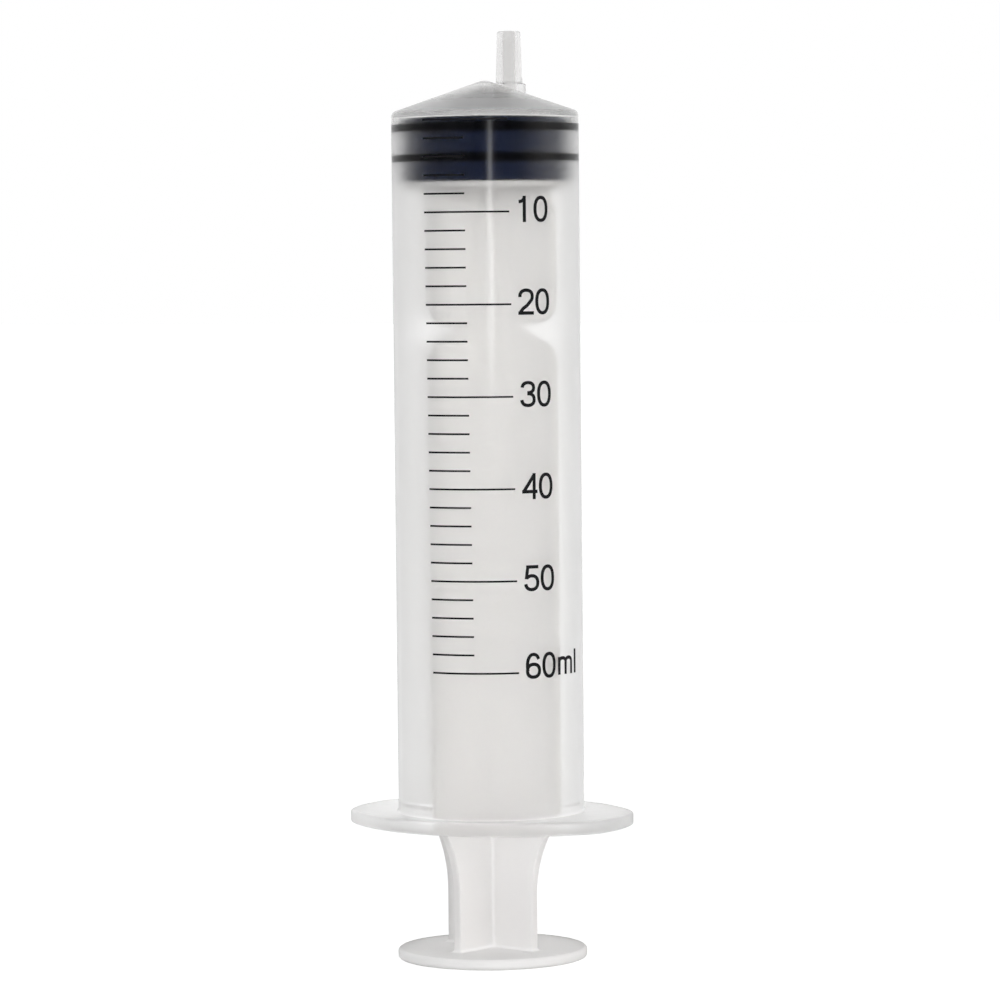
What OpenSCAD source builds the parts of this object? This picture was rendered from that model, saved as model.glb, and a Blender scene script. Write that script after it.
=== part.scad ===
// Large three-piece syringe: a barrel with a conical end, an off-centre slip tip and an
// oval finger flange, a plunger rod of four crossed fins with a round thumb disc and a
// notch at which it can be snapped after use, and a rubber stopper on the head of the rod.
// It stands on its thumb disc with the plunger pushed home. The origin is on the axis, on
// the underside of the thumb disc.
// +Z runs along the axis towards the tip, the finger flange is longest along X, and the
// tip is off-centre towards +Y. Volumes are in ml, lengths in mm and angles in degrees.

/* [Scale] */
// Volume at the last line
capacity_ml = 60; // [20:2:90]
// Volume between neighbouring lines
ml_per_line = 2; // [1:1:5]
// Lines from one numbered line to the next
lines_per_number = 5; // [2:1:10]
// Thickness of a line
line_w = 0.3; // [0.15:0.05:0.6]
// Angle round the barrel at which the zero line starts
line_start = -106.0; // [-130:0.1:-90]
// Angle by which the last line is set round the barrel from the zero line
print_skew = 4.1; // [-6:0.1:6]
// Angle that a short line spans
short_span = 27.6; // [10:0.1:45]
// Angle that a numbered line spans
long_span = 54.6; // [30:0.1:70]
// Gap from the end of a numbered line to its number, along the surface
number_gap = 1.2; // [0.5:0.1:4]
// Height of the numbers
number_h = 4.3; // [2:0.1:6]
// Height of the middle of a number above its line
number_lift = 0.4; // [-1:0.1:3]
// Height of the middle of the last number above its line
last_number_lift = 1.1; // [-1:0.1:3]
// Thickness of the ink
ink_t = 0.05; // [0.03:0.01:0.1]

/* [Barrel] */
// Diameter of the bore
bore_d = 29.0; // [27:0.1:38]
// Thickness of the side wall
wall = 1.1; // [0.8:0.05:1.6]
// Thickness of the conical end
end_wall = 1.2; // [0.8:0.05:2]
// Slope of the conical end
end_slope = 19.2; // [10:0.1:25]
// Length from the last line to the finger flange
tail_l = 24.3; // [10:0.1:40]
// Rounding of the shoulder
shoulder_r = 1.0; // [0.2:0.1:1.5]
// Rounding of the point of the conical end
apex_flat_r = 0.9; // [0.5:0.1:3]
// Height of the bead that keeps the plunger in
bead_h = 0.25; // [0.15:0.05:0.3]
// Width of that bead along the bore
bead_w = 1.4; // [1:0.1:3]
// Height of the middle of that bead above the finger flange
bead_rise = 1.8; // [1.5:0.1:8]
// Bevel at the mouth of the bore
mouth_bevel = 0.4; // [0.2:0.1:0.8]

/* [Finger flange] */
// Reach beyond the barrel along X
flange_reach = 8.5; // [4:0.1:14]
// Reach beyond the barrel along Y
flange_side = 3.1; // [1:0.1:8]
// Radius of the two long sides
flange_side_r = 28.5; // [27:0.5:60]
// Thickness
flange_t = 2.3; // [1.2:0.1:3]
// Rounding of the rim
flange_edge = 0.5; // [0.2:0.1:0.6]

/* [Tip] */
// Diameter at the open end
tip_end_d = 3.95; // [3.6:0.01:4.2]
// Growth of the diameter per unit of length
tip_taper = 0.06; // [0.03:0.01:0.1]
// Length from the collar to the open end
tip_l = 8.8; // [6:0.1:14]
// Rounding at the open end
tip_round = 0.45; // [0.1:0.05:0.8]
// Diameter of the channel
tip_bore_d = 2.1; // [1:0.1:2.6]
// Distance of the tip's axis from the outside of the barrel
tip_inset = 5.8; // [4:0.1:9]
// Diameter of the collar at its foot
collar_d = 5.6; // [5:0.1:7]
// Height of the collar above the conical end
collar_h = 2.95; // [1.5:0.05:4]

/* [Stopper] */
// Length from the back to the front of the front ring
stopper_l = 9.4; // [8:0.1:14]
// Width of a sealing ring
ring_w = 1.3; // [0.8:0.1:2]
// Distance between the two rings
ring_pitch = 5.0; // [3:0.1:6]
// Depth of the groove between the rings
groove_depth = 0.6; // [0.3:0.05:1]
// Running gap between a ring and the bore
ring_gap = 0.05; // [0.02:0.01:0.1]
// Gap from the nose of the stopper to the conical end
nose_gap = 0.7; // [0.5:0.05:1.5]
// Height of the zero line above the front ring with the plunger home
zero_rise = 0.5; // [0:0.1:1]
// Rubber over the head of the rod
nose_wall = 2.6; // [1.5:0.1:4]
// Diameter of the opening at the back
lip_d = 19.4; // [12:0.1:20]
// Thickness of the lip round that opening
lip_t = 2.4; // [1.5:0.1:3]
// Depth of the undercut behind the lip
undercut = 1.8; // [0.8:0.1:2]

/* [Plunger rod] */
// Diameter of the thumb disc
thumb_d = 31.8; // [20:0.1:45]
// Thickness of the thumb disc
thumb_t = 1.8; // [1.2:0.1:3]
// Rounding of the thumb disc's rim
thumb_edge = 0.6; // [0.2:0.1:0.6]
// Gap between the thumb disc and the finger flange with the plunger home
grip_gap = 20.7; // [12:0.1:40]
// Width across the fins next to the thumb disc
grip_w = 18.5; // [12:0.1:22]
// Length of that narrow stretch
grip_l = 9.2; // [4:0.1:12]
// Radius of the flare above it
flare_r = 20; // [15:0.5:40]
// Thickness of a fin
fin_t = 1.6; // [1:0.1:2.5]
// Gap between a fin and the bore
fin_gap = 0.4; // [0.35:0.05:1]
// Turn of the fins from the X axis
fin_turn = 75; // [0:1:90]
// Distance from the stopper down to the break notch
notch_drop = 24.3; // [15:0.1:60]
// Distance from the axis to the point of the break notch
notch_reach = 5.9; // [4:0.1:9]
// Slope of the upper side of that notch
notch_upper = 8; // [2:1:30]
// Slope of its lower side
notch_lower = 22; // [2:1:30]
// Rounding of the fins beside it
notch_round = 3.6; // [1:0.1:4]
// Gap between the support disc and the bore
disc_gap = 0.8; // [0.4:0.1:2]
// Thickness of the support disc at its rim
disc_t = 1.0; // [0.8:0.1:2]
// Depth by which its underside bulges at the axis
disc_bulge = 1.6; // [0:0.1:3]
// Gap all round the head inside the stopper
snap_gap = 0.1; // [0.05:0.01:0.2]
// Thickness of the disc that snaps behind the lip
snap_t = 1.5; // [1:0.1:2.5]

/* [Hidden] */
$fn = 96;
eps = 0.01;

frosted = [0.86, 0.87, 0.88];
clear_frosted = [0.90, 0.90, 0.91];
rubber = [0.13, 0.14, 0.20];
ink = [0.06, 0.06, 0.07];

bore_r = bore_d / 2;
barrel_r = bore_r + wall;
slope = tan(end_slope);

// The scale: the stopper moves by one line's pitch for each ml_per_line.
line_pitch = 1000 * ml_per_line / (PI * bore_r * bore_r);
line_count = floor(capacity_ml / ml_per_line);
scale_l = line_count * line_pitch;

// Heights, from the thumb disc up.
flange_z = thumb_t + grip_gap;
flange_top_z = flange_z + flange_t;
last_line_z = flange_top_z + tail_l;
zero_z = last_line_z + scale_l;
ring_z = zero_z - zero_rise;
stopper_z = ring_z - stopper_l;

// The conical end. The stopper's nose starts at the front ring, and its cone, the inside
// and the outside of the barrel's end and the head of the rod are parallel.
nose_r = bore_r - groove_depth;
nose_start_z = ring_z + groove_depth;
nose_apex_z = nose_start_z + nose_r * slope;
inner_apex_z = nose_apex_z + nose_gap / cos(end_slope);
outer_apex_z = inner_apex_z + end_wall / cos(end_slope);
head_apex_z = nose_apex_z - nose_wall / cos(end_slope);

// The tip.
tip_y = barrel_r - tip_inset;
collar_top_z = outer_apex_z - tip_y * slope + collar_h;
tip_end_z = collar_top_z + tip_l;
tip_foot_d = tip_end_d + tip_taper * tip_l;

// The stopper and the rod's head.
ring_r = bore_r - ring_gap;
groove_r = bore_r - groove_depth;
lip_r = lip_d / 2;
socket_r = lip_r + undercut;
socket_z = stopper_z + lip_t;
neck_r = lip_r - snap_gap;
head_r = socket_r - snap_gap;
disc_top_z = stopper_z - snap_gap;
fin_r = bore_r - fin_gap;

// Points of an arc round [x, y] from angle a to angle b.
function arc(x, y, r, a, b, steps = 8) =
    [for (i = [0:steps]) let (t = a + (b - a) * i / steps) [x + r * cos(t), y + r * sin(t)]];

// Height of a cone with its apex on the axis, at radius r.
function cone_z(apex_z, r) = apex_z - r * slope;

// A disc with a rounded rim, standing on z = 0.
module rounded_disc(r, t, edge) {
    rotate_extrude()
        polygon(concat([[0, 0]], arc(r - edge, edge, edge, -90, 0, 4),
                       arc(r - edge, t - edge, edge, 0, 90, 4), [[0, t]]));
}

// Oval plate: a disc trimmed by two larger ones that are shifted along Y.
module finger_flange() {
    end_r = barrel_r + flange_reach;
    side_shift = flange_side_r - barrel_r - flange_side;
    translate([0, 0, flange_z])
        intersection() {
            rounded_disc(end_r, flange_t, flange_edge);
            translate([0, side_shift, 0]) rounded_disc(flange_side_r, flange_t, flange_edge);
            translate([0, -side_shift, 0]) rounded_disc(flange_side_r, flange_t, flange_edge);
        }
}

// Outside of the tube, its rounded shoulder and the conical end.
module barrel_outside() {
    shoulder_z = cone_z(outer_apex_z, barrel_r);
    // Centre of the rounding that touches both the side and the cone.
    round_z = shoulder_z + shoulder_r * slope - shoulder_r / cos(end_slope);
    rotate_extrude()
        polygon(concat([[0, flange_z + flange_t / 2], [barrel_r, flange_z + flange_t / 2]],
                       arc(barrel_r - shoulder_r, round_z, shoulder_r, 0, 90 - end_slope, 4),
                       [[apex_flat_r, cone_z(outer_apex_z, apex_flat_r)],
                        [apex_flat_r * 0.55, cone_z(outer_apex_z, apex_flat_r * 0.75)],
                        [0, cone_z(outer_apex_z, apex_flat_r * 0.7)]]));
}

// Room for the plunger, with a bevelled mouth.
module barrel_inside() {
    rotate_extrude()
        polygon([[0, flange_z - eps], [bore_r + mouth_bevel + eps, flange_z - eps],
                 [bore_r, flange_z + mouth_bevel], [bore_r, cone_z(inner_apex_z, bore_r)],
                 [apex_flat_r, cone_z(inner_apex_z, apex_flat_r)],
                 [0, cone_z(inner_apex_z, apex_flat_r)]]);
}

// Low rounded bead round the bore, which the rear sealing ring meets at full stroke.
module retaining_bead() {
    z = flange_top_z + bead_rise;
    rotate_extrude()
        polygon([[bore_r + wall / 2, z - bead_w / 2], [bore_r, z - bead_w / 2],
                 [bore_r - bead_h, z - bead_w / 5], [bore_r - bead_h, z + bead_w / 5],
                 [bore_r, z + bead_w / 2], [bore_r + wall / 2, z + bead_w / 2]]);
}

// Collar and tapered slip tip, solid.
module tip_outside() {
    foot_z = cone_z(outer_apex_z, tip_y + collar_d / 2) - end_wall / 2;
    translate([0, tip_y, 0]) {
        translate([0, 0, foot_z]) cylinder(d = collar_d, h = collar_top_z - foot_z);
        rotate_extrude()
            polygon(concat([[0, foot_z], [tip_foot_d / 2, foot_z], [tip_foot_d / 2, collar_top_z]],
                           arc(tip_end_d / 2 - tip_round, tip_end_z - tip_round, tip_round, 0, 90, 4),
                           [[0, tip_end_z]]));
    }
}

module barrel() {
    color(frosted) {
        difference() {
            union() {
                barrel_outside();
                finger_flange();
                tip_outside();
            }
            barrel_inside();
            translate([0, tip_y, ring_z]) cylinder(d = tip_bore_d, h = tip_end_z - ring_z + 1);
        }
        retaining_bead();
    }
}

// Rubber piston with two sealing rings, hollow at the back, where a lip holds the rod.
module stopper() {
    rear_ring_z = ring_z - ring_pitch;
    soft = groove_depth / 3;
    ceiling_z = cone_z(head_apex_z, socket_r);
    color(rubber)
        rotate_extrude()
            polygon([[lip_r, stopper_z], [groove_r - soft, stopper_z], [groove_r, stopper_z + soft],
                     [groove_r, rear_ring_z - ring_w - soft], [ring_r, rear_ring_z - ring_w],
                     [ring_r, rear_ring_z], [groove_r, rear_ring_z + soft],
                     [groove_r, ring_z - ring_w - soft], [ring_r, ring_z - ring_w],
                     [ring_r, ring_z], [nose_r, nose_start_z],
                     [apex_flat_r, cone_z(nose_apex_z, apex_flat_r)],
                     [0, cone_z(nose_apex_z, apex_flat_r)],
                     [0, cone_z(head_apex_z, apex_flat_r)],
                     [apex_flat_r, cone_z(head_apex_z, apex_flat_r)], [socket_r, ceiling_z],
                     [socket_r, socket_z], [lip_r, socket_z]]);
}

// One side of the break notch, from the fin's straight edge to the notch's point at
// height z. The slope runs down from the point where up is -1, and up from it where up is 1.
function notch_side(z, slope_angle, up) =
    let (centre_r = fin_r - notch_round,
         foot = [centre_r + notch_round * sin(slope_angle),
                 (centre_r + notch_round * sin(slope_angle) - notch_reach) * tan(slope_angle)],
         centre_z = z + up * (foot[1] + notch_round * cos(slope_angle)))
        concat(arc(centre_r, centre_z, notch_round, 0, -up * (90 - slope_angle), 6),
               [[notch_reach, z]]);

// Outline of one side of a fin, from the thumb disc to the support disc.
function fin_side() =
    let (start_z = thumb_t + grip_l, turn = acos(1 - (fin_r - grip_w / 2) / flare_r),
         notch_z = stopper_z - notch_drop,
         upper = notch_side(notch_z, notch_upper, 1))
        concat([[grip_w / 2, thumb_t / 2]],
               arc(grip_w / 2 + flare_r, start_z, flare_r, 180, 180 - turn, 12),
               notch_side(notch_z, notch_lower, -1),
               [for (i = [len(upper) - 2:-1:0]) upper[i]],
               [[fin_r, disc_top_z - disc_t / 2]]);

// Profile that the head's fins are turned to, from the support disc to their point.
function head_side() =
    let (z = socket_z + snap_gap, apex_z = head_apex_z - snap_gap / cos(end_slope))
        [[0, disc_top_z - disc_t / 2], [neck_r, disc_top_z - disc_t / 2], [neck_r, z], [head_r, z],
         [head_r, cone_z(apex_z, head_r)], [apex_flat_r, cone_z(apex_z, apex_flat_r)],
         [0, cone_z(apex_z, apex_flat_r)]];

// Upright plate with the given outline on both sides of the axis.
module plate(side) {
    mirrored = [for (i = [len(side) - 1:-1:0]) [-side[i][0], side[i][1]]];
    translate([0, fin_t / 2, 0])
        rotate([90, 0, 0])
            linear_extrude(height = fin_t) polygon(concat(side, mirrored));
}

// Disc that carries the back of the stopper. Its underside bulges towards the thumb disc.
module support_disc() {
    r = bore_r - disc_gap;
    rotate_extrude()
        polygon([[0, disc_top_z], [0, disc_top_z - disc_t - disc_bulge],
                 [r / 2, disc_top_z - disc_t - disc_bulge * 0.75],
                 [r, disc_top_z - disc_t], [r, disc_top_z]]);
}

// Crossed fins of the head, which clear the stopper's socket all round.
module head() {
    intersection() {
        rotate_extrude() polygon(head_side());
        for (turn = [0, 90])
            rotate([0, 0, fin_turn + turn])
                translate([-bore_r, -fin_t / 2, disc_top_z - disc_t])
                    cube([2 * bore_r, fin_t, head_apex_z - disc_top_z + disc_t]);
    }
}

module plunger_rod() {
    color(clear_frosted) {
        rounded_disc(thumb_d / 2, thumb_t, thumb_edge);
        support_disc();
        translate([0, 0, socket_z + snap_gap]) cylinder(r = head_r, h = snap_t);
        for (turn = [0, 90])
            rotate([0, 0, fin_turn + turn]) plate(fin_side());
        head();
    }
}

// Angle at which line i of the scale starts.
function start_angle(i) = line_start + print_skew * i / line_count;

// One line of the scale, as a band of ink on the barrel.
module scale_line(i, span) {
    rotate_extrude(start = start_angle(i), angle = span)
        translate([barrel_r, zero_z - i * line_pitch - line_w / 2]) square([ink_t, line_w]);
}

module numbered_lines() {
    color(ink)
        for (i = [0:lines_per_number:line_count]) scale_line(i, long_span);
}

module short_lines() {
    color(ink)
        for (i = [0:line_count])
            if (i % lines_per_number != 0) scale_line(i, short_span);
}

// Glyphs are drawn one unit high, with strokes of even width along arcs and lines.
glyph_w = 0.65;
stroke = 0.13;
half = stroke / 2;
glyph_step = 0.72;
// Squareness of the ovals: 1 is an ellipse, and less is squarer.
fullness = 0.88;
// The unit: widths of the space before it, of the m and of the space after the m, and
// the height at which it stands above the foot of the number.
unit_gap = 0.14;
m_w = 0.9;
letter_gap = 0.17;
unit_rise = 0.08;
// The stretch of the barrel's surface that a glyph is cut from: half its angle, and the
// depth to which the glyph's own solid reaches through it.
cut_angle = 20;
cut_depth = 3;

// A number raised to the power of fullness, with its sign kept.
function fuller(v) = sign(v) * pow(abs(v), fullness);

// Points along part of an oval that fits inside the glyph's outline.
function oval(x, y, rx, ry, a, b, steps = 20) =
    [for (i = [0:steps]) let (t = a + (b - a) * i / steps)
        [x + rx * fuller(cos(t)), y + ry * fuller(sin(t))]];

// Direction across a path at its point i.
function across(path, i) =
    let (p = path[max(i - 1, 0)], q = path[min(i + 1, len(path) - 1)], d = q - p)
        [-d[1], d[0]] / norm(d);

// A stroke of even width along an open path.
module pen(path) {
    n = len(path) - 1;
    polygon(concat([for (i = [0:n]) path[i] + half * across(path, i)],
                   [for (i = [n:-1:0]) path[i] - half * across(path, i)]));
}

// An upright ring of even width.
module loop(x, y, rx, ry) {
    difference() {
        polygon(oval(x, y, rx + half, ry + half, 0, 352.5, 47));
        polygon(oval(x, y, rx - half, ry - half, 0, 352.5, 47));
    }
}

module glyph(c) {
    x = glyph_w / 2;
    rx = x - half;
    if (c == "0") loop(x, 0.5, rx, 0.5 - half);
    if (c == "1") {
        translate([x - half, 0]) square([stroke, 1]);
        pen(oval(x - 0.23, 0.98, 0.23, 0.2, -90, 0, 8));
    }
    if (c == "2") {
        pen(concat(oval(x, 0.7, rx, 0.3 - half, 185, -30),
                   [[0.37, 0.36], [0.2, 0.24], [0.1, 0.12], [half, 0.02]]));
        square([glyph_w, stroke]);
    }
    if (c == "3") {
        pen(oval(x, 0.74, rx * 0.92, 0.26 - half, 178, -95));
        pen(oval(x, 0.29, rx, 0.29 - half, 95, -178));
    }
    if (c == "4") {
        translate([glyph_w * 0.68, 0]) square([stroke, 1]);
        translate([0, 0.23]) square([glyph_w, stroke]);
        pen([[glyph_w * 0.68 + half, 1 - half], [half, 0.23 + half]]);
    }
    if (c == "5") {
        translate([0.09, 1 - stroke]) square([glyph_w - 0.13, stroke]);
        pen([[0.16, 1 - half], [half * 1.4, 0.47]]);
        pen(oval(x, 0.33, rx, 0.33 - half, 142, -172));
    }
    if (c == "6") {
        loop(x, 0.31, rx, 0.31 - half);
        pen(oval(x, 0.5, rx, 0.5 - half, 205, 32));
    }
    if (c == "7") {
        translate([0, 1 - stroke]) square([glyph_w, stroke]);
        pen([[glyph_w - half, 1 - half], [0.24, 0]]);
    }
    if (c == "8") {
        loop(x, 0.27, rx, 0.27 - half);
        loop(x, 0.76, rx * 0.88, 0.24 - half);
    }
    if (c == "9") {
        loop(x, 0.69, rx, 0.31 - half);
        pen(oval(x, 0.5, rx, 0.5 - half, 25, -148));
    }
    if (c == "m") {
        arch = (m_w - stroke) / 2;
        for (i = [0:2]) translate([i * arch, 0]) square([stroke, 0.5]);
        square([stroke, 0.68]);
        for (i = [0:1]) pen(oval((i + 0.5) * arch + half, 0.48, arch / 2, 0.22 - half, 180, 0));
    }
    if (c == "l") square([stroke, 0.93]);
}

// A glyph printed on the barrel beside line i: its left edge is x along the surface from
// the end of that line, and its foot is at height z.
module printed(c, i, x, z) {
    turn = start_angle(i) + long_span + (x + glyph_w * number_h / 2) / barrel_r * 180 / PI;
    intersection() {
        rotate_extrude(start = turn - cut_angle, angle = 2 * cut_angle)
            translate([barrel_r, z - number_h]) square([ink_t, number_h * 3]);
        rotate([0, 0, turn])
            translate([barrel_r - cut_depth / 2, -glyph_w * number_h / 2, z])
                rotate([90, 0, 90])
                    linear_extrude(height = cut_depth) scale(number_h) glyph(c);
    }
}

module numbers() {
    last = floor(line_count / lines_per_number);
    color(ink) {
        for (n = [1:last]) {
            i = n * lines_per_number;
            word = str(i * ml_per_line);
            lift = n == last ? last_number_lift : number_lift;
            z = zero_z - i * line_pitch + lift - number_h / 2;
            for (k = [0:len(word) - 1])
                printed(word[k], i, number_gap + k * glyph_step * number_h, z);
            if (n == last) {
                m_x = len(word) * glyph_step + unit_gap - glyph_step + glyph_w;
                unit_z = z + unit_rise * number_h;
                printed("m", i, number_gap + m_x * number_h, unit_z);
                printed("l", i, number_gap + (m_x + m_w + letter_gap) * number_h, unit_z);
            }
        }
    }
}

barrel();
stopper();
plunger_rod();
numbered_lines();
short_lines();
numbers();
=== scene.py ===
import bpy
import numpy as np
from mathutils import Matrix, Vector


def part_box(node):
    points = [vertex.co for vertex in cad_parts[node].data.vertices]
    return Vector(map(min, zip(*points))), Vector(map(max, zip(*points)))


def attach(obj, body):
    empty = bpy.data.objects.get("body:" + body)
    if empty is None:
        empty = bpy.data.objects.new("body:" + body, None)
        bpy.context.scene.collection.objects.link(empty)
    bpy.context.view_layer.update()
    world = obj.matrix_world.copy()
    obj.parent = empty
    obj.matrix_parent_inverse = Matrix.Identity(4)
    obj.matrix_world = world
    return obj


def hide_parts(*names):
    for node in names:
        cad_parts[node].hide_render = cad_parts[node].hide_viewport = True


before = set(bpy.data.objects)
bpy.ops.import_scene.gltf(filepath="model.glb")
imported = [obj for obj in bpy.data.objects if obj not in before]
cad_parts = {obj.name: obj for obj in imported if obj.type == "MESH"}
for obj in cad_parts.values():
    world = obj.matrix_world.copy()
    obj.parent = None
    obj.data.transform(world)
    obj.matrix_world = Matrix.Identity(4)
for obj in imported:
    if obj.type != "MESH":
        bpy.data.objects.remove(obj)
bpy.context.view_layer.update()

# ---------------------------------------------------------------- plunger rod
# One moulding of milky polypropylene: the thumb disc that the syringe stands on, four
# crossed fins with a deep notch at which the rod can be snapped after use, the disc
# behind the stopper, and the finned head that the stopper is pushed over.

MM = 0.001
thumb_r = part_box("plunger_rod")[1][0] / MM
thumb_t, thumb_edge = 1.8, 0.6
fin_half, fin_edge, fin_root = 0.8, 0.3, 0.5
grip_reach, barrel_reach, taper_reach = 9.25, 14.1, 13.5
flare_start, flare_r = thumb_t + 9.2, 20.0
foot = 0.5
fin_turn = np.radians(75)
carrier_r, carrier_t, carrier_bulge, carrier_edge = 13.7, 1.0, 1.6, 0.2
snap_gap = 0.1
carrier_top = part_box("stopper")[0][2] / MM - snap_gap
neck_reach, head_reach, snap_t = 9.6, 11.4, 1.5
snap_z = carrier_top + 2.6
fins_end, taper_z = carrier_top - 4.6, carrier_top - 3.3
rod_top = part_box("plunger_rod")[1][2] / MM
end_slope = np.tan(np.radians(19.2))
point_flat, crown_reach = 0.9, 1.9
notch_reach, notch_round, notch_span, notch_clear = 5.9, 3.6, 12, 3
notch_z = carrier_top + snap_gap - 24.3
notch_upper, notch_lower = np.tan(np.radians(8)), np.tan(np.radians(22))


def skin(name, rows, closed):
    """A closed surface through rows of points in millimetres, shaped (rows, columns, 3).
    Each pair of neighbours in two neighbouring rows spans a four-sided face. closed is
    "ring" where the last row meets the first, or "poles" where the first and the last row
    are single points. The volume is a sixth of the sum of p . (q x r) over the triangles,
    and where it is negative every face is turned over, so that faces point outwards."""
    count, columns = rows.shape[:2]
    here = np.arange(columns)
    beside = np.roll(here, -1)
    if closed == "ring":
        points = rows.reshape(-1, 3)
        lower = np.arange(count)[:, None] * columns
        upper = np.roll(lower, -1, axis=0)
        fans = np.empty((0, 3), int)
    else:
        points = np.vstack([rows[0, :1], rows[1:-1].reshape(-1, 3), rows[-1, :1]])
        lower = 1 + np.arange(count - 3)[:, None] * columns
        upper = lower + columns
        last = len(points) - 1
        final = last - columns
        fans = np.vstack([np.stack([here * 0, 1 + beside, 1 + here], 1),
                          np.stack([here * 0 + last, final + here, final + beside], 1)])
    quads = np.stack([lower + here, lower + beside, upper + beside, upper + here], -1)
    quads = quads.reshape(-1, 4)
    triangles = points[np.vstack([quads[:, :3], quads[:, [0, 2, 3]], fans])]
    volume = np.einsum("ij,ij->", triangles[:, 0], np.cross(triangles[:, 1], triangles[:, 2]))
    if volume < 0:
        quads, fans = quads[:, ::-1], fans[:, ::-1]
    mesh = bpy.data.meshes.new(name)
    mesh.from_pydata((points * MM).tolist(), [], quads.tolist() + fans.tolist())
    mesh.shade_smooth()
    piece = bpy.data.objects.new(name, mesh)
    bpy.context.scene.collection.objects.link(piece)
    shading = piece.modifiers.new("even_shading", "WEIGHTED_NORMAL")
    shading.mode, shading.weight, shading.keep_sharp = "FACE_AREA", 50, False
    return piece


def cross(reach, half=fin_half):
    """Outlines of four crossed fins, shaped (outlines, columns, 2). reach is the distance
    from the axis to a fin's end and half is half its thickness, one value an outline. An
    eighth runs across the end, round the edge, along the side and round the root to the
    diagonal. x and y swap for the next eighth, and a quarter turns four times."""
    reach, half = (np.atleast_1d(v).astype(float)[:, None]
                   for v in np.broadcast_arrays(reach, half))
    share = np.linspace(0, 1, 3)[:2]
    corner = np.radians(np.linspace(0, 90, 4))
    along = np.linspace(0, 1, 10)[1:-1]
    root = np.radians(np.linspace(270, 225, 4))
    inner = half + fin_root
    x = np.hstack([reach + 0 * share, reach - fin_edge + fin_edge * np.cos(corner),
                   (reach - fin_edge) * (inner / (reach - fin_edge)) ** along,
                   inner + fin_root * np.cos(root)])
    y = np.hstack([(half - fin_edge) * share, half - fin_edge + fin_edge * np.sin(corner),
                   half + 0 * along, inner + fin_root * np.sin(root)])
    eighth = np.stack([x, y], -1)
    quarter = np.concatenate([eighth, eighth[:, -2:0:-1, ::-1]], 1)
    turns = [quarter @ np.array([[c, s], [-s, c]]) for c, s in ((1, 0), (0, 1), (-1, 0), (0, -1))]
    return np.concatenate(turns, 1)


def level(outlines, z):
    """Rows of points from outlines (rows, columns, 2) and heights z, which are one for all,
    one a row or one a point."""
    z = np.asarray(z, float)
    z = np.broadcast_to(z[:, None] if z.ndim == 1 else z, outlines.shape[:2])
    return np.concatenate([outlines, z[..., None]], -1)


def spread(reach, r, z):
    """Circles of radii r at heights z, with their points in the directions of the points of
    the crossed fins of that reach, so that the columns of both join without a twist."""
    outline = cross(reach)[0]
    direction = outline / np.linalg.norm(outline, axis=1, keepdims=True)
    return level(np.asarray(r, float)[:, None, None] * direction, z)


def rim(r, low, thick, edge, steps=5):
    """Radii and heights up a rounded rim: a quarter arc, a short side and a quarter arc."""
    a = np.radians(np.linspace(0, 90, steps))
    return (np.concatenate([r - edge + edge * np.sin(a), r - edge + edge * np.cos(a)]),
            np.concatenate([low + edge - edge * np.cos(a), low + thick - edge + edge * np.sin(a)]))


def rounded(corners, radii, steps=6):
    """A profile whose corners are arcs. An arc's feet lie radius x tan(half the turn) from
    the corner along both sides, and its centre lies on the bisector."""
    corners = [np.array(c, float) for c in corners]
    path = [corners[0][None]]
    for before, at, after, radius in zip(corners, corners[1:], corners[2:], radii[1:-1]):
        back, ahead = ((p - at) / np.linalg.norm(p - at) for p in (before, after))
        turn = np.pi - np.arccos(np.clip(back @ ahead, -1, 1))
        if radius == 0 or turn < 0.02:
            path.append(at[None])
            continue
        middle = (back + ahead) / np.linalg.norm(back + ahead)
        centre = at + middle * radius / np.cos(turn / 2)
        start = at + back * radius * np.tan(turn / 2) - centre
        end = at + ahead * radius * np.tan(turn / 2) - centre
        share = np.linspace(0, 1, steps)[:, None]
        arc = (start * np.sin((1 - share) * turn) + end * np.sin(share * turn)) / np.sin(turn)
        path.append(centre + arc)
    return np.concatenate(path + [corners[-1][None]])


def carrier_under(outlines):
    """Height of the carrier disc's underside, a paraboloid that is lowest on the axis."""
    r = np.linalg.norm(outlines, axis=-1)
    return carrier_top - carrier_t - carrier_bulge * (1 - np.minimum(r / carrier_r, 1) ** 2)


def blend_rows(first, last, shares):
    """Outlines part of the way from the first to the last, one for each share."""
    shares = np.asarray(shares)[:, None, None]
    return first * (1 - shares) + last * shares


foot_angle = np.radians(np.linspace(0, 90, 4))
foot_out = foot * (1 - np.sin(foot_angle))
foot_up = foot * (1 - np.cos(foot_angle))
flare_angle = np.linspace(0, np.arccos(1 - (barrel_reach - grip_reach) / flare_r), 14)
disc_r, disc_z = rim(thumb_r, 0, thumb_t, thumb_edge)
thumb_circle = spread(grip_reach, [disc_r[-1]], 0)[0, :, :2]
rim_r, rim_z = rim(carrier_r, carrier_top - carrier_t, carrier_t, carrier_edge, 3)
carrier_circle = spread(taper_reach, [rim_r[0]], 0)[0, :, :2]
under_feet = cross(taper_reach + foot_out[::-1], fin_half + foot_out[::-1])
under_flat = blend_rows(under_feet[-1], carrier_circle, [0.25, 0.5, 0.75, 1])
snap_r, snap_height = rim(head_reach, snap_z, snap_t, 0.2, 3)
cone_reach = np.linspace(head_reach, crown_reach, 6)
cut = barrel_reach - notch_reach
notch_corners = [(barrel_reach, notch_z - notch_span), (barrel_reach, notch_z - cut * notch_lower),
                 (notch_reach, notch_z), (barrel_reach, notch_z + cut * notch_upper),
                 (barrel_reach, notch_z + notch_span)]
notch = rounded(notch_corners, [0, notch_round, 0.25, notch_round, 0], 9)[1:-1]
notch_foot, notch_root, notch_head = np.split(notch, 3)
flank = np.linspace(0, 1, 5)[1:-1, None]
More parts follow.
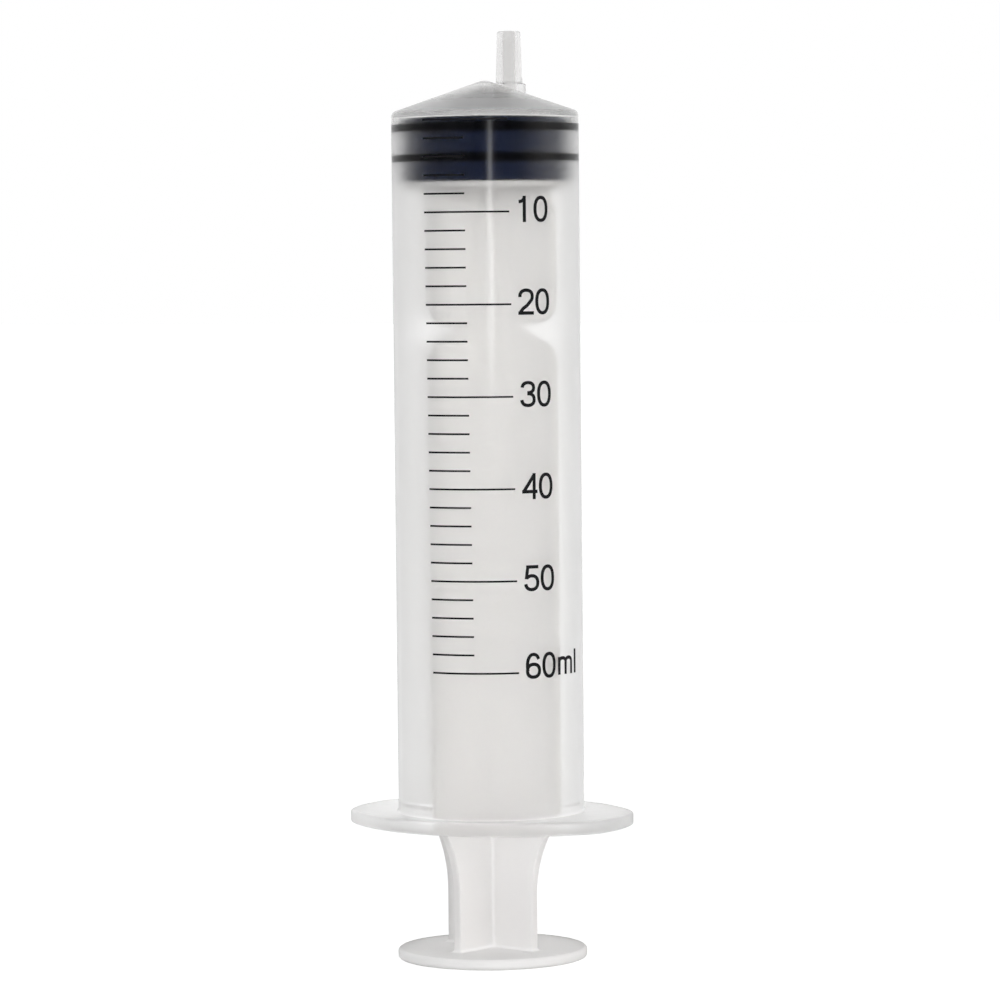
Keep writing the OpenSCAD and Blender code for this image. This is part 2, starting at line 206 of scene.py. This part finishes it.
notch = np.vstack([notch_foot, notch_foot[-1] + (notch_root[0] - notch_foot[-1]) * flank,
                   notch_root, notch_root[-1] + (notch_head[0] - notch_root[-1]) * flank,
                   notch_head])
thumb_foot = cross(grip_reach + foot, fin_half + foot)[0]
flare_out, flare_up = flare_r * (1 - np.cos(flare_angle)), flare_r * np.sin(flare_angle)
lower_z = np.linspace(flare_start + 14, notch[0, 1] - notch_clear, 12)
upper_z = np.linspace(notch[-1, 1] + notch_clear, fins_end, 4)
rod_rows = np.concatenate([
    # Thumb disc: the face it stands on, its rim, and its top as far as the fins' feet.
    spread(grip_reach, [0, 5, 10, 14], 0),
    spread(grip_reach, disc_r, disc_z),
    level(blend_rows(thumb_circle, thumb_foot, [0.3, 0.6, 0.85]), thumb_t),
    # Fins: their feet, the flare above the grip, and the straight run with the notch.
    level(cross(grip_reach + foot_out, fin_half + foot_out), thumb_t + foot_up),
    level(cross(grip_reach + flare_out), flare_start + flare_up),
    level(cross(np.full(len(lower_z), barrel_reach)), lower_z),
    level(cross(notch[:, 0]), notch[:, 1]),
    level(cross(np.full(len(upper_z), barrel_reach)), upper_z),
    # Carrier disc behind the stopper: the fins run out under it, then its rim and top.
    level(cross([taper_reach]), taper_z),
    level(under_feet, carrier_under(under_feet) - foot_up[::-1, None]),
    level(under_flat, carrier_under(under_flat)),
    spread(taper_reach, rim_r[1:], rim_z[1:]),
    # Head in the stopper: its neck, the snap disc, and the fins that run up to its point.
    level(cross([neck_reach] * 2), [carrier_top, snap_z]),
    spread(neck_reach, snap_r, snap_height),
    level(cross([head_reach]), snap_z + snap_t),
    level(cross(cone_reach), rod_top - (cone_reach - point_flat) * end_slope),
    spread(head_reach, [0], rod_top),
])
turned = np.array([[np.cos(fin_turn), np.sin(fin_turn)], [-np.sin(fin_turn), np.cos(fin_turn)]])
rod_rows[..., :2] = rod_rows[..., :2] @ turned


class Value:
    """A shader value that takes part in Python expressions: each operator adds a Math node."""

    def __init__(self, nodes, socket):
        self.nodes, self.socket = nodes, socket

    def maths(self, operation, a, b=0.0, clamp=False):
        settings = {"operation": operation, "use_clamp": clamp}
        return self.nodes.add("ShaderNodeMath", settings, {0: a, 1: b})

    def __add__(self, other):
        return self.maths("ADD", self, other)

    def __radd__(self, other):
        return self.maths("ADD", other, self)

    def __sub__(self, other):
        return self.maths("SUBTRACT", self, other)

    def __rsub__(self, other):
        return self.maths("SUBTRACT", other, self)

    def __mul__(self, other):
        return self.maths("MULTIPLY", self, other)

    def __rmul__(self, other):
        return self.maths("MULTIPLY", other, self)

    def __pow__(self, other):
        return self.maths("POWER", self, other)

    def clamped(self):
        return self.maths("ADD", self, 0.0, clamp=True)


class Tree:
    """A node tree to which add() adds any node."""

    def __init__(self, tree):
        self.tree = tree

    def add(self, kind, settings=None, values=None, output=0):
        """Adds a node. settings are its own properties, or a ramp's stops as (place, colour)
        pairs, and values are numbers, colours or links for its inputs, by name or number."""
        node = self.tree.nodes.new(kind)
        for key, value in (settings or {}).items():
            if key == "stops":
                ramp = node.color_ramp.elements
                while len(ramp) < len(value):
                    ramp.new(0.5)
                for element, (place, colour) in zip(ramp, value):
                    element.position, element.color = place, colour
            else:
                setattr(node, key, value)
        for key, value in (values or {}).items():
            self.give(node.inputs[key], value)
        return Value(self, node.outputs[output])

    def give(self, target, value):
        """Links a value to an input, or sets the input to a number or colour."""
        if isinstance(value, Value):
            self.tree.links.new(value.socket, target)
        else:
            target.default_value = value

    def seen(self):
        """1 for a ray from the camera, a reflected one or one through glass, and 0 for the
        rays that gather light on a matt surface."""
        rays = self.tree.nodes.new("ShaderNodeLightPath")
        camera, glossy, clear = (Value(self, rays.outputs[f"Is {kind} Ray"])
                                 for kind in ("Camera", "Glossy", "Transmission"))
        return (camera + glossy + clear).clamped()


class Nodes(Tree):
    """The nodes of a new material, which starts with a Principled node."""

    def __init__(self, name, **constants):
        self.material = bpy.data.materials.new(name)
        self.material.use_nodes = True
        super().__init__(self.material.node_tree)
        self.shader = self.tree.nodes["Principled BSDF"]
        for socket, value in constants.items():
            self.shader.inputs[socket.replace("_", " ")].default_value = value

    def set(self, socket, value):
        """Links a varying value or colour to one of the Principled node's sockets."""
        self.give(self.shader.inputs[socket], value)

    def place(self, stretch=(1, 1, 1)):
        """The piece's own coordinates in millimetres, stretched along each axis."""
        own = self.add("ShaderNodeTexCoord", output="Object")
        scale = tuple(s / MM for s in stretch)
        return self.add("ShaderNodeMapping", {"vector_type": "POINT"},
                        {"Vector": own, "Scale": scale})

    def axes(self, place):
        """The X, Y and Z of a place, as three values."""
        parts = self.add("ShaderNodeSeparateXYZ", None, {0: place}).socket.node
        return [Value(self, socket) for socket in parts.outputs]

    def noise(self, place, scale, detail=2.0, distortion=0.0):
        """Noise from 0 to 1, with features about 1 / scale across."""
        return self.add("ShaderNodeTexNoise", None, {
            "Vector": place, "Scale": scale, "Detail": detail, "Distortion": distortion})

    def step(self, value, low, high):
        """0 below low, 1 above high, and a straight line between."""
        return self.add("ShaderNodeMapRange", None,
                        {"Value": value, "From Min": low, "From Max": high})

    def tint(self, mask, first, second):
        """The first colour where the mask is 0 and the second where it is 1."""
        return self.add("ShaderNodeMix", {"data_type": "RGBA"},
                        {0: mask, 6: first, 7: second}, output=2)

    def bump(self, height, strength, distance):
        """Roughens the surface by height, where 1 stands distance metres proud."""
        self.set("Normal", self.add("ShaderNodeBump", None,
                                    {"Height": height, "Strength": strength, "Distance": distance}))


def hairlines(nodes, place, scale, width):
    """Fine scratches: the cell borders of a Voronoi pattern closer than width, kept only
    where a slow noise is high, so that they are short and scattered."""
    border = nodes.add("ShaderNodeTexVoronoi", {"feature": "DISTANCE_TO_EDGE"},
                       {"Vector": place, "Scale": scale, "Randomness": 1.0})
    patchy = nodes.step(nodes.noise(place, scale * 0.7), 0.56, 0.66)
    return (1 - nodes.step(border, width * 0.4, width)) * patchy


rod_plastic = Nodes("rod_polypropylene", Transmission_Weight=0.5, IOR=1.49)
flow = rod_plastic.noise(rod_plastic.place((1, 1, 0.12)), 0.35, 3.0, 0.6)
grain = rod_plastic.noise(rod_plastic.place(), 5.0, 3.0)
scuffs = hairlines(rod_plastic, rod_plastic.place((1, 1, 0.3)), 0.22, 0.02)
height = rod_plastic.axes(rod_plastic.place())[2]
above_disc = rod_plastic.step(height, thumb_t - 0.1, thumb_t + 0.6)
above_grip = rod_plastic.step(height, thumb_t + 6, flare_start + 20)
fin_colour = rod_plastic.tint(flow, (0.975, 0.967, 0.962, 1), (0.99, 0.982, 0.974, 1))
# The fins are a little darker towards the thumb disc, fading out above the flare.
grip_colour = rod_plastic.tint(above_grip, (0.92, 0.91, 0.905, 1), fin_colour)
# Painted shade: the whole thumb disc is painted a darker grey than the fins, standing in for the
# shade on its upward face.
colour_with_painted_disc_shade = rod_plastic.tint(above_disc, (0.755, 0.748, 0.742, 1), grip_colour)
# Painted shade: from just under the carrier disc up to the point the rod is painted a darker grey,
# for the shade where the disc meets the stopper.
carrier_painted_shade = rod_plastic.step(height, carrier_top - 3.2, carrier_top - 1.4)
rod_plastic.set("Base Color", rod_plastic.tint(carrier_painted_shade, colour_with_painted_disc_shade, (0.86, 0.853, 0.847, 1)))
rod_plastic.set("Roughness", 0.50 + flow * 0.10 + scuffs * 0.15)
rod_plastic.bump(grain * 0.5 + flow * 0.8, 0.15, 0.00003)

rod = skin("rod_moulding", rod_rows, "poles")
rod.data.materials.append(rod_plastic.material)
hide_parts("plunger_rod")
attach(rod, "plunger")

# -------------------------------------------------------------------- stopper
# The piston, moulded in dark blue-black rubber. Two sealing rings are squeezed against the
# bore, and the waist between them stands clear of it. Where the rings touch the bore they are
# painted near black, as painted shade, and the nose is painted lighter, as painted light. The
# head of the rod sits in its hollow back. A film of silicone oil gives it a soft shine.

bore_r = 14.5
stopper_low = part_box("stopper")[0][2] / MM
nose_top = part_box("stopper")[1][2] / MM
line_half, zero_rise = 0.15, 0.5
ring_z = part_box("numbered_lines")[1][2] / MM - line_half - zero_rise
waist_r, ring_w, ring_pitch = bore_r - 0.6, 1.3, 5.0
squeezed_r = bore_r + 0.004
lip_r, socket_r, lip_t = 9.7, 11.5, 2.4
ceiling = rod_top + snap_gap


def ring_rows(radius, z, centre=0.0, columns=256):
    """Circles round the Z axis, one a row. radius, z and the circles' Y offset may vary by
    row or by point, and broadcast to (rows, columns)."""
    turn = np.linspace(0, 2 * np.pi, columns, endpoint=False)
    radius, z, centre = (np.asarray(v, float).reshape(len(v), -1) if np.ndim(v) else np.float64(v)
                         for v in (radius, z, centre))
    x, y = radius * np.cos(turn), radius * np.sin(turn) + centre
    return np.stack(np.broadcast_arrays(x, y, z), -1)


rear_ring = ring_z - ring_pitch
nose_start = ring_z + 0.6
stopper_profile = rounded(
    [(0, nose_top), (point_flat, nose_top), (waist_r, nose_start), (squeezed_r, ring_z),
     (squeezed_r, ring_z - ring_w), (waist_r, ring_z - ring_w - 0.2), (waist_r, rear_ring + 0.2),
     (squeezed_r, rear_ring), (squeezed_r, rear_ring - ring_w), (waist_r, rear_ring - ring_w - 0.2),
     (waist_r, stopper_low), (lip_r, stopper_low), (lip_r, stopper_low + lip_t),
     (socket_r, stopper_low + lip_t), (socket_r, ceiling - (socket_r - point_flat) * end_slope),
     (point_flat, ceiling), (0, ceiling)],
    [0, 1.0, 0.3, 0.12, 0.12, 0.15, 0.15, 0.12, 0.12, 0.15, 0.2, 0.15, 0.15, 0.1, 0.3, 0.5, 0])
stopper_rows = ring_rows(stopper_profile[:, 0], stopper_profile[:, 1], columns=192)
stopper = skin("stopper_rubber", stopper_rows, "poles")

rubber = Nodes("blue_black_rubber", IOR=1.5, Specular_IOR_Level=0.0, Coat_Roughness=0.4)
spot = rubber.place()
dust = rubber.noise(spot, 2.2, 4.0)
cloudy = rubber.noise(spot, 0.25, 2.0)
off_x, off_y, height = rubber.axes(spot)
radius = (off_x * off_x + off_y * off_y) ** 0.5
# Painted shade: where the sealing rings press on the bore the rubber is painted near black and
# loses its coat.
contact_painted_shade = rubber.step(radius, waist_r + 0.25, bore_r - 0.05)
blotches = dust * 0.4 + cloudy * 0.6
waist_colour = rubber.tint(blotches, (0.002, 0.005, 0.018, 1), (0.005, 0.009, 0.028, 1))
side_colour_with_painted_shade = rubber.tint(contact_painted_shade, waist_colour, (0.001, 0.001, 0.002, 1))
# Painted light: the nose is painted a lighter grey than the rest of the rubber, so that it looks
# grey through the barrel's conical end.
nose_painted_light = rubber.step(height, nose_start, nose_start + 1.0)
rubber.set("Base Color", rubber.tint(nose_painted_light, side_colour_with_painted_shade, (0.050, 0.052, 0.058, 1)))
rubber.set("Roughness", 0.45 + dust * 0.2)
rubber.set("Coat Weight", 0.03 - contact_painted_shade * 0.03)
rubber.bump(dust, 0.35, 0.00005)

stopper.data.materials.append(rubber.material)
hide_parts("stopper")
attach(stopper, "stopper_body")

# --------------------------------------------------------------------- barrel
# The barrel is one moulding of clear, slightly milky polypropylene: the oval finger
# flange, the tube with a low bead inside its mouth, the shallow conical end, and the
# off-centre slip tip with its collar. Its whole surface is one sheet without a seam.

flange_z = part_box("barrel")[0][2] / MM
tip_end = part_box("barrel")[1][2] / MM
flange_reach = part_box("barrel")[1][0] / MM
barrel_r, flange_t, flange_edge = 15.6, 2.3, 0.5
flange_side_r, flange_half = 28.5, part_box("barrel")[1][1] / MM
mouth_bevel, bead_h, bead_w, bead_rise = 0.4, 0.25, 1.4, 1.8
shoulder_r, tube_foot, inner_corner = 1.0, 0.4, 0.4
outer_round, inner_round = 0.6, 0.8
nose_apex = nose_start + waist_r * end_slope
nose_gap, end_wall = 0.7, 1.2
inner_apex = nose_apex + nose_gap / np.cos(np.arctan(end_slope))
outer_apex = inner_apex + end_wall / np.cos(np.arctan(end_slope))
tip_y, collar_r, channel_r, channel_foot = 9.8, 2.8, 1.05, 146
tip_r, tip_l, tip_taper, tip_round = 1.975, 8.8, 0.03, 0.45
collar_top = tip_end - tip_l

turn = np.linspace(0, 2 * np.pi, 256, endpoint=False)


def oval():
    """Distance from the axis to the flange's rim in every direction: the least of the end
    circle and the two side circles, whose centres lie off the axis along Y."""
    shift = flange_side_r - flange_half
    side = np.sqrt(flange_side_r ** 2 - (shift * np.cos(turn)) ** 2) - shift * np.abs(np.sin(turn))
    sharp = 150.0
    return flange_reach * (1 + (side / flange_reach) ** -sharp) ** (-1 / sharp)


def cone_rows(start_r, start_y, end_r, end_y, apex, soft, count):
    """Circles that slide from one centre and radius to another on a cone whose point is
    rounded: its height is apex - slope x sqrt(distance from the axis^2 + soft^2)."""
    share = np.linspace(0, 1, count)[:, None]
    radius = start_r + (end_r - start_r) * share
    centre = start_y + (end_y - start_y) * share
    off_axis = np.hypot(radius * np.cos(turn), radius * np.sin(turn) + centre)
    return ring_rows(radius, apex - end_slope * np.hypot(off_axis, soft), centre)


def radial(path, centre=0.0):
    """Rows of circles round an upright axis from a profile of (radius, height) points."""
    return ring_rows(path[:, 0], path[:, 1], centre)


def upright(r, heights):
    """The points of a profile that runs straight up at radius r."""
    return np.column_stack([np.full(len(heights), r), heights])


# Each profile of the tube, the bore and the tip leads in from beyond its first corner and
# runs out past its last one, to set the slope there, and those two end points are dropped.
lead = 3
edge = oval()
share = np.linspace(0, 1, 6)[:, None]
quarter = np.radians(np.linspace(0, 90, 6))[:, None]
mouth_r = bore_r + mouth_bevel
flange_top = flange_z + flange_t
shoulder_z = outer_apex - barrel_r * end_slope
tube = rounded([(barrel_r + lead, flange_top), (barrel_r, flange_top), (barrel_r, shoulder_z),
                (barrel_r - lead, shoulder_z + lead * end_slope)],
               [0, tube_foot, shoulder_r, 0])[1:-1]
tube_low, tube_high = np.split(tube, 2)
tube_z = np.linspace(tube_low[-1, 1], tube_high[0, 1], 24)[1:-1]
tube = np.vstack([tube_low, upright(barrel_r, tube_z), tube_high])
inner_z = inner_apex - bore_r * end_slope
bead_z = flange_top + bead_rise
bead_share = np.linspace(-1, 1, 13)
bead = np.column_stack([bore_r - bead_h * (0.5 + 0.5 * np.cos(np.pi * bead_share)),
                        bead_z - bead_share * bead_w / 2])
bore = rounded([(bore_r - lead, inner_z + lead * end_slope), (bore_r, inner_z), (bore_r, bead_z)],
               [0, inner_corner, 0])[1:-1]
bore_z = np.linspace(bore[-1, 1], bead[0, 1] + 0.1, 24)[1:]
mouth = upright(bore_r, [flange_z + mouth_bevel])
bore = np.vstack([bore, upright(bore_r, bore_z), bead, mouth])
tip = rounded([(collar_r, collar_top - lead), (collar_r, collar_top),
               (tip_r + tip_l * tip_taper, collar_top), (tip_r, tip_end),
               (channel_r, tip_end), (channel_r, tip_end - lead)],
              [0, 0.25, 0.25, tip_round, 0.15, 0])[1:-1]
collar, point = np.split(tip, 2)
tip_up = np.linspace(0, 1, 8)[1:-1, None]
tip = np.vstack([collar, collar[-1] + (point[0] - collar[-1]) * tip_up, point])
outer_cone = cone_rows(tube[-1, 0], 0, collar_r + 0.25, tip_y, outer_apex, outer_round, 64)
collar_foot = outer_cone[-1:].copy()
collar_foot[..., :2] = ring_rows([collar_r], [0], tip_y)[..., :2]
collar_foot[..., 2] += 0.3
inner_cone = cone_rows(channel_r + 0.15, tip_y, bore[0, 0], 0, inner_apex, inner_round, 36)
channel_low = ring_rows([channel_r], inner_cone[:1, :, 2] + 0.15, tip_y)
channel_z = np.linspace(tip[-1, 1], channel_foot, 5)[1:]

barrel_rows = np.concatenate([
    # Flange: its underside, the rounded rim in two halves, and its top.
    ring_rows(mouth_r + (edge - flange_edge - mouth_r) * share, flange_z),
    ring_rows(edge - flange_edge + flange_edge * np.sin(quarter[1:]),
              flange_z + flange_edge - flange_edge * np.cos(quarter[1:])),
    ring_rows(edge - flange_edge + flange_edge * np.cos(quarter),
              flange_top - flange_edge + flange_edge * np.sin(quarter)),
    ring_rows(edge - flange_edge + (tube[0, 0] - edge + flange_edge) * share[1:-1], flange_top),
    # Outside: the tube, the conical end, and the collar and tip with the channel's mouth.
    radial(tube),
    outer_cone[1:],
    collar_foot,
    radial(tip, tip_y),
    # Inside: down the channel, over the end wall, and down the bore to the flange again.
    radial(upright(channel_r, channel_z), tip_y),
    channel_low,
    inner_cone[:-1],
    radial(bore),
])
barrel = skin("barrel_moulding", barrel_rows, "ring")

milky = Nodes("barrel_polypropylene", Transmission_Weight=1.0, IOR=1.42, Specular_Tint=(0, 0, 0, 1),
              Coat_Weight=0.05, Coat_Roughness=0.16)
place = milky.place()
streaks = milky.noise(milky.place((1, 1, 0.03)), 0.6, 3.0, 0.3)
mottle = milky.noise(place, 0.12, 2.0)
pebble = milky.noise(place, 4.0, 3.0)
scratches = hairlines(milky, milky.place((1, 1, 0.25)), 0.14, 0.006)
off_x, off_y, height = milky.axes(place)
radius = (off_x * off_x + off_y * off_y) ** 0.5
polished_edge = milky.step(radius, 15.2, 15.5) * milky.step(height, ring_z - 0.1, ring_z + 0.2)
slip_tip = milky.step(height, collar_top - 3.4, collar_top - 2.2)
flange_skin = 1 - milky.step(height, flange_top, flange_top + 0.4)
body_colour = milky.tint(mottle, (0.975, 0.972, 0.97, 1), (0.99, 0.988, 0.98, 1))
milky.set("Base Color", milky.tint(slip_tip, body_colour, (0.80, 0.795, 0.79, 1)))
milky.set("Roughness", 0.27 + streaks * 0.06 + mottle * 0.04 + scratches * 0.1 + flange_skin * 0.15
          - polished_edge * 0.25 - slip_tip * 0.12)
milky.bump(streaks * 1.0 + pebble * (0.25 - slip_tip * 0.2), 0.12, 0.00003)

barrel.data.materials.append(milky.material)
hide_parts("barrel")
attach(barrel, "barrel_body")

# -------------------------------------------------------------- printed scale
# Black ink, screen printed on the barrel after moulding: a line for every 2 ml, a longer
# one for every 10 ml, and the plain numbers beside those. The ink is a little uneven.

ink = Nodes("scale_ink", IOR=1.5, Specular_IOR_Level=0.1)
cover = ink.noise(ink.place(), 6.0, 4.0)
thin_ink = ink.step(cover, 0.6, 0.8)
ink.set("Base Color", ink.tint(thin_ink, (0.004, 0.004, 0.005, 1), (0.020, 0.020, 0.022, 1)))
ink.set("Roughness", 0.45 + cover * 0.3)
ink.bump(cover, 0.3, 0.00001)
for name in ("numbered_lines", "short_lines", "numbers"):
    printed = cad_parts[name]
    printed.data.materials.clear()
    printed.data.materials.append(ink.material)

# ---------------------------------------------------------------------- stage
# A pale table, a pale studio all round, two soft lamps and a small window by the camera.

floor_mesh = bpy.data.meshes.new("floor")
side = 6.0
floor_corners = [(-side, -side, 0), (side, -side, 0), (side, side, 0), (-side, side, 0)]
floor_mesh.from_pydata(floor_corners, [], [(0, 1, 2, 3)])
floor = bpy.data.objects.new("floor", floor_mesh)
bpy.context.scene.collection.objects.link(floor)

table = Nodes("pale_table", Roughness=0.6)
sheen = table.noise(table.place(), 0.05, 2.0)
table.set("Base Color", table.tint(sheen, (0.80, 0.80, 0.80, 1), (0.83, 0.83, 0.83, 1)))
matt = Value(table, table.shader.outputs[0])
glow = table.add("ShaderNodeEmission", None, {"Color": (1, 1, 1, 1), "Strength": 0.7})
glowing = table.add("ShaderNodeAddShader", None, {0: matt, 1: glow})
mixed = table.add("ShaderNodeMixShader", None, {0: table.seen(), 1: matt, 2: glowing})
table.give(table.tree.nodes["Material Output"].inputs["Surface"], mixed)
floor_mesh.materials.append(table.material)

world = bpy.data.worlds.new("studio")
bpy.context.scene.world = world
world.use_nodes = True
sky = Tree(world.node_tree)
plain = sky.add("ShaderNodeBackground", None, {"Color": (0.97, 0.98, 1.0, 1), "Strength": 0.3})
white = sky.add("ShaderNodeBackground", None, {"Color": (1, 1, 1, 1), "Strength": 1.0})
mixed = sky.add("ShaderNodeMixShader", None, {0: sky.seen(), 1: plain, 2: white})
sky.give(sky.tree.nodes["World Output"].inputs["Surface"], mixed)
sky.tree.nodes.remove(sky.tree.nodes["Background"])


middle = Vector((0, 0, 0.08))


def lamp(name, azimuth, distance, height, size, watts, colour):
    """A soft lamp of the given width and height that looks at the middle of the syringe.
    Azimuth is in degrees from -Y towards +X, and lengths are in metres."""
    light = bpy.data.lights.new(name, "AREA")
    light.shape, light.energy, light.color = "RECTANGLE", watts, colour
    light.size, light.size_y = size
    stand = bpy.data.objects.new(name, light)
    bpy.context.scene.collection.objects.link(stand)
    a = np.radians(azimuth)
    stand.location = (distance * np.sin(a), -distance * np.cos(a), height)
    stand.rotation_euler = (middle - stand.location).to_track_quat("-Z", "Y").to_euler()


lamp("soft_right", 95, 1.3, 0.12, (0.9, 0.9), 8.2, (1.0, 0.97, 0.93))
lamp("soft_left", -10, 1.4, 0.12, (0.9, 0.9), 3.8, (0.94, 0.97, 1.0))
lamp("window", 30.5, 0.8, 0.117, (0.05, 0.09), 2.35, (1.0, 1.0, 1.0))

# The camera looks along a level bearing that is lowered by the pitch and then rolled. Its
# focal length and yaw are given in widths of the picture.
view_azimuth = np.radians(25)
film, focal = 36, 4.583
camera_data = bpy.data.cameras.new("camera")
camera_data.sensor_width = film
camera_data.lens = film * focal
camera_data.clip_start, camera_data.clip_end = 0.05, 30
camera = bpy.data.objects.new("camera", camera_data)
bpy.context.scene.collection.objects.link(camera)
yaw, pitch, roll = 0.0115 / focal, np.radians(3.12), np.radians(0.55)
facing = view_azimuth - yaw
forward = Vector((-np.sin(facing) * np.cos(pitch), np.cos(facing) * np.cos(pitch),
                  -np.sin(pitch)))
right = Vector((np.cos(facing), np.sin(facing), 0))
up = right.cross(forward)
right, up = right * np.cos(roll) - up * np.sin(roll), up * np.cos(roll) + right * np.sin(roll)
axes = Matrix((right, up, -forward)).transposed().to_4x4()
away, camera_z = 0.765, 0.1185
axes.translation = (away * np.sin(view_azimuth), -away * np.cos(view_azimuth), camera_z)
camera.matrix_world = axes
scene = bpy.context.scene
scene.camera = camera
scene.view_settings.view_transform = "Standard"
scene.cycles.max_bounces = 40
scene.cycles.transmission_bounces = 40
scene.cycles.glossy_bounces = 32
scene.cycles.diffuse_bounces = 16
scene.cycles.transparent_max_bounces = 16
